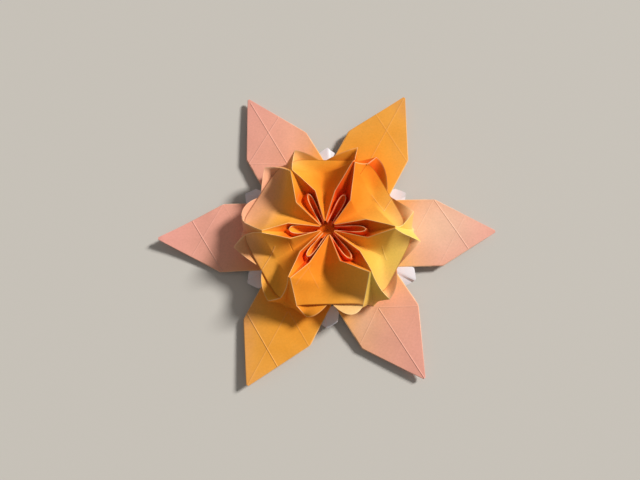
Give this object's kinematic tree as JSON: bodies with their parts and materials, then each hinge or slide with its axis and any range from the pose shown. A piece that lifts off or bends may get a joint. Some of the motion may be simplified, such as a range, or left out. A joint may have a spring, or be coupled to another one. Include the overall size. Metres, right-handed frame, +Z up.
{
  "type": "folded paper flower",
  "caption": "Flat-lying flower folded from a hexagonal sheet of paper, with pointed outer petals and a raised blossom of trough panels and opened pleats.",
  "frame": {"origin": "centre of the flat base, on the table", "axes": "+Z up out of the blossom, +X along one outer petal"},
  "size_m": [0.1217, 0.1069, 0.0196],
  "materials": {
    "paper": "matte coloured paper"
  },
  "bodies": {
    "root": {"folded_crocus": "paper"}
  },
  "joints": []
}
